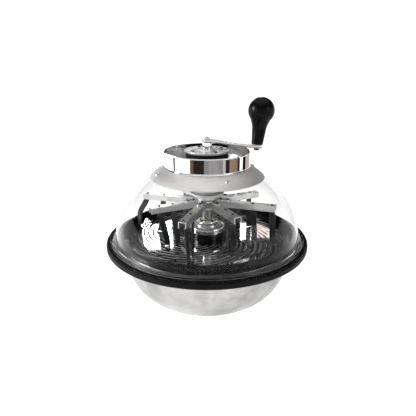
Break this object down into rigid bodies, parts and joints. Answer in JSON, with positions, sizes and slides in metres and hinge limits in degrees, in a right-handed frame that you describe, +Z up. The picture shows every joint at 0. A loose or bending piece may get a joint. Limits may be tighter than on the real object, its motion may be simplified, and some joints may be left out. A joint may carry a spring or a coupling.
{
  "type": "hand-cranked bowl leaf trimmer",
  "caption": "Steel bowl with a slotted pan, geared blades and a clear domed lid whose top crank turns arms with hanging flaps.",
  "frame": {"origin": "middle of the flat foot under the bowl", "axes": "+Z up along the shaft, +X the side the crank points to, -Y the viewer's side"},
  "size_m": [0.4199, 0.42, 0.4204],
  "materials": {
    "polished_steel": "polished stainless sheet with slots",
    "bowl_steel": "satin spun stainless, slightly blotchy",
    "satin_steel": "satin spun steel",
    "chrome": "bright chrome",
    "aluminium": "bare extruded aluminium",
    "dark_steel": "black painted housing",
    "clear": "clear moulded plastic",
    "edging_rubber": "black rubber edging",
    "flap_rubber": "black rubber strip",
    "knob_plastic": "black moulded plastic, semi gloss",
    "bronze": "sintered bronze",
    "gear_steel": "machined steel gear",
    "blade_steel": "ground blade steel",
    "screw_steel": "plated screw",
    "blacked_screw": "blacked screw"
  },
  "bodies": {
    "bowl": {"bowl": "bowl_steel", "rim_edging": "edging_rubber"},
    "pan": {"slotted_plate": "polished_steel", "pan_wall": "polished_steel", "gearbox_base": "dark_steel", "gearbox_cap": "chrome", "gearbox_collar": "chrome", "collar_screws": "blacked_screw", "base_screws": "screw_steel", "input_bush": "bronze", "output_bush": "bronze", "idler_pins": "gear_steel"},
    "input_drive": {"input_gear": "gear_steel"},
    "idler_right": {"idler_gear_right": "gear_steel"},
    "idler_left": {"idler_gear_left": "gear_steel"},
    "cutter": {"output_shaft": "gear_steel", "blade_hub": "gear_steel", "upper_blade": "blade_steel", "lower_blade": "blade_steel", "blade_washer": "screw_steel", "blade_nut": "screw_steel"},
    "dome": {"dome": "clear", "skirt": "satin_steel", "ring": "chrome", "bearing_housing": "dark_steel", "housing_cover": "chrome", "cover_screws": "blacked_screw", "clamp_flange": "satin_steel", "clamp_screws": "screw_steel", "clamp_nuts": "screw_steel", "skirt_bolts": "screw_steel", "skirt_spacers": "edging_rubber", "skirt_nuts": "screw_steel", "upper_outer_race": "gear_steel", "lower_outer_race": "gear_steel", "bearing_balls": "gear_steel"},
    "rotor": {"upper_inner_race": "gear_steel", "lower_inner_race": "gear_steel", "main_shaft": "chrome", "shaft_collar": "chrome", "crank_arm": "chrome", "crank_bolt": "screw_steel", "knob_spindle": "screw_steel", "spindle_nut": "blacked_screw", "hub_body": "aluminium", "hub_cap": "aluminium", "hub_screws": "blacked_screw", "hub_grub_screw": "blacked_screw", "long_arm_flaps": "flap_rubber", "short_arm_flaps": "flap_rubber", "flap_screws": "blacked_screw", "arm_long_1": "aluminium", "arm_long_2": "aluminium", "arm_long_3": "aluminium", "arm_long_4": "aluminium", "arm_short_1": "aluminium", "arm_short_2": "aluminium", "arm_short_3": "aluminium", "arm_short_4": "aluminium"},
    "knob": {"knob": "knob_plastic"}
  },
  "joints": [
    {"name": "pan_lift", "type": "slide", "parent": "bowl", "child": "pan", "axis": [0, 0, 1], "range_m": [0, 0.1]},
    {"name": "dome_lift", "type": "slide", "parent": "pan", "child": "dome", "axis": [0, 0, 1], "range_m": [0, 0.14]},
    {"name": "crank_spin", "type": "hinge", "parent": "dome", "child": "rotor", "pos_m": [0, 0, 0], "axis": [0, 0, 1], "continuous": true},
    {"name": "knob_spin", "type": "hinge", "parent": "rotor", "child": "knob", "pos_m": [0.10101, 0.0142, 0.3262], "axis": [0.0906, 0.0127, 0.9958], "continuous": true},
    {"name": "input_spin", "type": "hinge", "parent": "pan", "child": "input_drive", "pos_m": [0, 0, 0], "axis": [0, 0, 1], "continuous": true},
    {"name": "idler_right_spin", "type": "hinge", "parent": "pan", "child": "idler_right", "pos_m": [0.0168, 0, 0], "axis": [0, 0, 1], "continuous": true},
    {"name": "idler_left_spin", "type": "hinge", "parent": "pan", "child": "idler_left", "pos_m": [-0.0168, 0, 0], "axis": [0, 0, 1], "continuous": true},
    {"name": "blade_spin", "type": "hinge", "parent": "pan", "child": "cutter", "pos_m": [0, 0, 0], "axis": [0, 0, 1], "continuous": true}
  ],
  "couplings": [
    {"joint": "input_spin", "follows": "crank_spin", "ratio": 1},
    {"joint": "idler_right_spin", "follows": "crank_spin", "ratio": -3},
    {"joint": "idler_left_spin", "follows": "crank_spin", "ratio": -3},
    {"joint": "blade_spin", "follows": "crank_spin", "ratio": 5}
  ]
}
